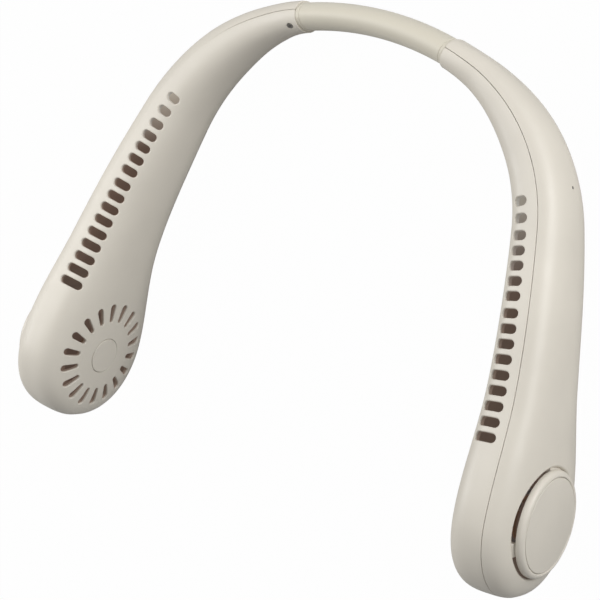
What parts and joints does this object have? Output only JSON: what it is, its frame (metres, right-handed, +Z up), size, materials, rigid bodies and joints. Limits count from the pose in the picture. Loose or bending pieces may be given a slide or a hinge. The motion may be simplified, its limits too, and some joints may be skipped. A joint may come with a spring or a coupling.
{
  "type": "neck fan",
  "caption": "Bladeless-style personal neck fan: two hollow curved arms with a round fan pod at each end, air slots along the top, joined by a soft flexible band.",
  "frame": {"origin": "middle of the bounding box at its base, as the fan rests on its pods and the undersides of its arms", "axes": "+X to the wearer's left arm's far side is -X and right is +X, +Y from the open front to the soft band at the back of the neck, +Z up"},
  "size_m": [0.2374, 0.1859, 0.0576],
  "materials": {
    "shell": "satin, warm off-white",
    "cap": "satin, warm off-white",
    "band": "soft, silky, with fine lengthwise streaks",
    "button": "satin",
    "dark_plastic": "matt",
    "black_plastic": "matt",
    "duct": "matt",
    "anchor": "matt",
    "zinc_steel": "plated",
    "steel": "polished",
    "black_steel": "blackened",
    "spring_steel": "bright",
    "lamination": "stacked sheet",
    "magnet": "matt grey",
    "copper": "enamelled wire",
    "circuit_board": "satin green",
    "cell_wrap": "shrink wrap",
    "cable": "matt",
    "lens": "milky"
  },
  "bodies": {
    "left_arm": {"neck_band": "band", "band_spring_strip": "spring_steel", "band_harness": "cable", "left_outer_shell": "shell", "left_inner_shell": "shell", "left_intake_cap": "cap", "left_cap_plate": "cap", "left_stator_core": "lamination", "left_windings": "copper", "left_bearings": "steel", "left_motor_mount": "dark_plastic", "left_motor_board": "circuit_board", "left_motor_screws": "steel", "left_air_duct": "duct", "left_duct_wall": "duct", "left_battery": "cell_wrap", "left_band_anchor": "anchor", "left_anchor_screw": "black_steel", "tact_switch": "black_plastic", "switch_board": "circuit_board", "control_board": "circuit_board"},
    "right_arm": {"right_outer_shell": "shell", "right_inner_shell": "shell", "right_intake_cap": "cap", "right_cap_plate": "cap", "right_stator_core": "lamination", "right_windings": "copper", "right_bearings": "steel", "right_motor_mount": "dark_plastic", "right_motor_board": "circuit_board", "right_motor_screws": "steel", "right_air_duct": "duct", "right_duct_wall": "duct", "right_battery": "cell_wrap", "right_band_anchor": "anchor", "right_anchor_screw": "black_steel", "charge_board": "circuit_board", "usb_socket": "steel", "charge_light": "lens"},
    "left_fan": {"left_fan_wheel": "dark_plastic", "left_rotor_cup": "zinc_steel", "left_magnet_ring": "magnet", "left_shaft": "steel"},
    "right_fan": {"right_fan_wheel": "dark_plastic", "right_rotor_cup": "zinc_steel", "right_magnet_ring": "magnet", "right_shaft": "steel"},
    "power_button": {"power_button": "button", "button_plunger": "black_plastic"}
  },
  "joints": [
    {"name": "band_flex", "type": "hinge", "parent": "left_arm", "child": "right_arm", "pos_m": [0, 0.08776, 0.01496], "axis": [0, 0.0914, 0.9958], "range_deg": [-10, 30], "stiffness_Nm_per_rad": 0.5, "deforming": ["neck_band", "band_spring_strip", "band_harness"]},
    {"name": "left_fan_spin", "type": "hinge", "parent": "left_arm", "child": "left_fan", "pos_m": [-0.10199, -0.064, 0.0299], "axis": [-0.9973, 0.0729, -0.0067], "continuous": true},
    {"name": "right_fan_spin", "type": "hinge", "parent": "right_arm", "child": "right_fan", "pos_m": [0.10199, -0.064, 0.0299], "axis": [0.9973, 0.0729, -0.0067], "continuous": true},
    {"name": "button_press", "type": "slide", "parent": "left_arm", "child": "power_button", "axis": [-0.9973, 0.0729, -0.0067], "range_m": [0, 0.0004], "stiffness_N_per_m": 1500}
  ]
}
